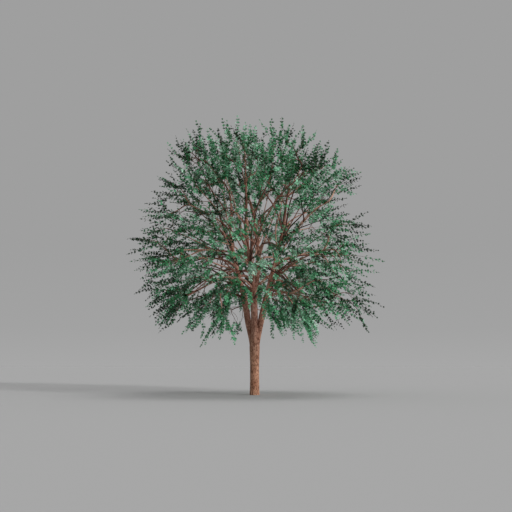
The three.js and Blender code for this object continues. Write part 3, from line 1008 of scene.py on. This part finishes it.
def run_on(route, end, mass):
    """The route up to near its packed end, run on to the far side of its mass."""
    turn = end - TURN_AHEAD
    start, along = route.at(turn), route.along(turn)
    way = outward(mass["centre"])
    share = RUN_UP if mass["ring_name"] in ("top", "crest") else RUN_OUT
    goal = mass["centre"] + way * share * reach(mass, way)
    pull = TURN_PULL * np.linalg.norm(goal - start)
    more = bezier(start, start + along * pull, goal - way * pull, goal, 60)
    before = route.points[route.shares < turn]
    return Route(np.vstack([before, more]))


for name, route in leader_routes.items():
    end = route.furthest_share(corners(name))
    mass = carried[name]
    whole = run_on(route, end, mass)
    stretch = whole.length / route.length
    seat = end / stretch

    def radius_at(shares, whole=whole, seat=seat, end=end, stretch=stretch):
        packed = leader_radius(np.minimum(shares * stretch, end))
        early = np.clip((TRUNK_SKIN_TOP - whole.at(shares)[:, 2]) / TUCK_RUN, 0, 1)
        late = np.clip((shares - seat) / (1 - seat), 0, 1) ** 0.5
        return (packed - SKIN_TUCK * early) * (1 - late) + pipe(2) * late

    low = whole.share_at_height(LEADER_SKIN_FOOT)
    own = [whole.share_at_height(height) for height in mass["ring"]["stems"]]
    last = grow_mass(masses.index(mass), mass, whole, 0.5, whole, own)
    bark_limb(leader_shape, whole, low, max(seat, last), radius_at, 36, 0.04)

for index, mass in enumerate(masses):
    if "carried" in mass:
        continue
    ring = mass["ring"]
    leader = leader_of(mass)
    mates = [m for m in masses if m["ring"] is ring and "carried" not in m and leader_of(m) == leader]
    step = mates.index(mass) / (len(mates) - 1) if len(mates) > 1 else 0.5
    route = leader_routes[leader]
    leaves_at = route.share_at_height(lerp(*ring["leave"], step))
    bough = bough_route(mass, route.at(leaves_at))
    end = bough.furthest_share(corners(mass["bough"]))
    whole = run_on(bough, end, mass)
    stretch = whole.length / bough.length
    seat = end / stretch
    foot, tip = ring["bough"]
    base = min(foot, BOUGH["widest"] * float(leader_radius(leaves_at)))

    def radius_at(shares, seat=seat, base=base, tip=tip):
        packed = lerp(base, tip, np.minimum(shares / seat, 1) ** BOUGH["power"])
        late = np.clip((shares - seat) / (1 - seat), 0, 1)
        return packed * (1 - late) + pipe(4) * late

    own = [route.share_at_height(height) for height in ring["stems"]]
    last = grow_mass(index, mass, whole, 0.25, route, own)
    bark_limb(bough_shape, whole, 0.0, max(seat, last), radius_at, 14, 0.05)

shoot_paths = np.array(shoot_paths)
shoot_lengths = np.array(shoot_lengths)
shoot_mass = np.array(shoot_mass)

branch_shape, twig_shape = Shape(), Shape()
tones = rng.choice(3, len(branch_paths), p=BARK_SHARES)
for tone in range(3):
    mine = np.flatnonzero(tones == tone)
    paths, radii = np.array(branch_paths)[mine], np.array(branch_radii)[mine]
    branch_shape.add(*tubes(paths, radii, 6), material=tone)
branch_shape.add(*tubes(branchlet_paths, branchlet_radii, 4), material=3)
thinning = np.linspace(*SHOOT_RADIUS, SHOOT_RINGS)
twig_shape.add(*tubes(shoot_paths, np.broadcast_to(thinning, shoot_paths.shape[:2]), 3))

# ------ pieces on the frame


def settle(piece, slot, *nodes):
    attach(piece, "root")
    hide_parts(*nodes)


settle(trunk_piece(), "trunk_bark", "trunk")
settle(leader_shape.piece("leaders_with_bark", [bough_bark]), "bough_bark", *LEADERS)
settle(
    bough_shape.piece("boughs_with_bark", [bough_bark]),
    "bough_bark",
    *[mass["bough"] for mass in masses if "carried" not in mass],
)
settle(branch_shape.piece("branches", [*branch_barks, young_bark]), "bough_bark")
settle(twig_shape.piece("twigs", [twig_bark]), "bough_bark")

for ring_name in RINGS:
    held = [i for i, mass in enumerate(masses) if mass["ring_name"] == ring_name]
    mine = np.isin(shoot_mass, held)
    shape = leaves(shoot_paths[mine], shoot_lengths[mine])
    piece = shape.piece(f"leaves_{ring_name}", leaf_skins, smooth=False)
    settle(piece, "foliage", *[masses[i]["name"] for i in held])

# ------ studio and camera

FLOOR_SIDE = 1600.0
floor_mesh = bpy.data.meshes.new("studio_floor")
half = FLOOR_SIDE / 2
floor_corners = [(-half, -half, 0), (half, -half, 0), (half, half, 0), (-half, half, 0)]
floor_mesh.from_pydata(floor_corners, [], [(0, 1, 2, 3)])
floor = linked("studio_floor", floor_mesh)
# Matt painted board, whose even grey takes a soft shadow and no gloss.
floor_mesh.materials.append(plain("matt_grey_floor", "#b9b9b9", 1.0, 0.0))

world = bpy.data.worlds.new("studio_air")
bpy.context.scene.world = world
world.use_nodes = True
air = world.node_tree
way = node(air, "ShaderNodeTexCoord").outputs["Generated"]
rise = node(air, "ShaderNodeSeparateXYZ", inputs={"Vector": way}).outputs["Z"]
# The backdrop meets the floor in one tone and darkens a little upwards.
AIR_TONES = [(0.0, "#a7a7a7"), (0.05, "#a2a2a2"), (0.16, "#9f9f9f")]
tone = node(air, "ShaderNodeValToRGB", inputs={"Fac": rise}, stops=AIR_TONES).outputs["Color"]
air.links.new(tone, air.nodes["Background"].inputs["Color"])


def lamp(name, azimuth, elevation, strength, angle):
    """A far soft lamp, which stands at that azimuth and elevation and looks that wide, in degrees."""
    data = bpy.data.lights.new(name, "SUN")
    data.energy = strength
    data.angle = math.radians(angle)
    made = linked(name, data)
    a, e = math.radians(azimuth), math.radians(elevation)
    source = Vector((math.cos(a) * math.cos(e), math.sin(a) * math.cos(e), math.sin(e)))
    made.rotation_euler = (-source).to_track_quat("-Z", "Y").to_euler()


lamp("overhead_lamp", -5, 77, 0.72, 36)
lamp("key_lamp", -46, 21, 1.55, 8)
lamp("side_lamp", -12, 5, 1.5, 25)

AIM = Vector((0.06, 0.0, 6.0))
camera = linked("camera", bpy.data.cameras.new("camera"))
camera.data.lens = 50.0
camera.data.sensor_width = 36.0
camera.data.clip_end = 2000.0
camera.location = (AIM.x, -CAMERA_DISTANCE, CAMERA_HEIGHT)
camera.rotation_euler = (AIM - camera.location).to_track_quat("-Z", "Y").to_euler()
bpy.context.scene.camera = camera
bpy.context.scene.view_settings.view_transform = "Standard"
